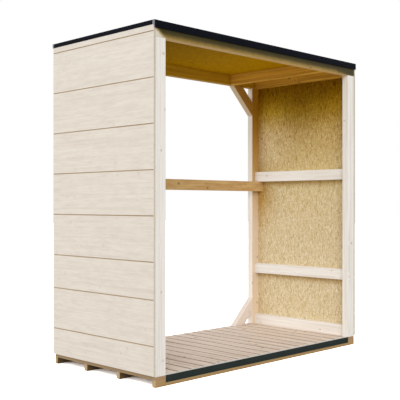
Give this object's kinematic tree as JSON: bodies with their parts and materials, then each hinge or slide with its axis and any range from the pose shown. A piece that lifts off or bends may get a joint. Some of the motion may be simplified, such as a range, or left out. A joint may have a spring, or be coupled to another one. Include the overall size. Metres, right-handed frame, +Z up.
{
  "type": "log store",
  "caption": "Open-fronted timber log store with clad end walls, a slatted floor, a rear rail with knee braces and a flat roof with metal edging.",
  "frame": {"origin": "on the ground, at the middle of the store's plan", "axes": "+X along the width to the right seen from the open front, -Y out of the open front, +Z up"},
  "size_m": [1.917, 0.951, 1.99],
  "materials": {
    "bearer_pine": "sawn",
    "floor_slat_wood": "planed, untreated",
    "edge_metal": "satin powder coat",
    "post_spruce": "planed, pale stain",
    "strand_board": "oriented strand board",
    "cladding_wood": "brushed grain, pale stain",
    "honey_spruce": "planed, untreated",
    "roof_bitumen": "mineral roofing felt"
  },
  "bodies": {
    "root": {"front_bearer": "bearer_pine", "mid_bearer_front": "bearer_pine", "mid_bearer_rear": "bearer_pine", "rear_bearer": "bearer_pine", "floor_slats": "floor_slat_wood", "front_floor_strip": "edge_metal", "front_post_left": "post_spruce", "front_post_right": "post_spruce", "rear_post_left": "post_spruce", "rear_post_right": "post_spruce", "left_bottom_rail": "post_spruce", "left_lower_rail": "post_spruce", "left_mid_rail": "post_spruce", "right_bottom_rail": "post_spruce", "right_lower_rail": "post_spruce", "right_mid_rail": "post_spruce", "left_strand_board": "strand_board", "right_strand_board": "strand_board", "left_cladding": "cladding_wood", "right_cladding": "cladding_wood", "rear_mid_rail": "honey_spruce", "upper_brace_left": "honey_spruce", "upper_brace_right": "honey_spruce", "lower_brace_left": "honey_spruce", "lower_brace_right": "honey_spruce", "front_beam": "honey_spruce", "rear_beam": "honey_spruce", "left_rafter": "honey_spruce", "right_rafter": "honey_spruce", "inner_rafter": "honey_spruce", "roof_deck": "strand_board", "roof_cover": "roof_bitumen", "front_roof_trim": "edge_metal", "rear_roof_trim": "edge_metal", "left_roof_trim": "edge_metal", "right_roof_trim": "edge_metal"}
  },
  "joints": []
}
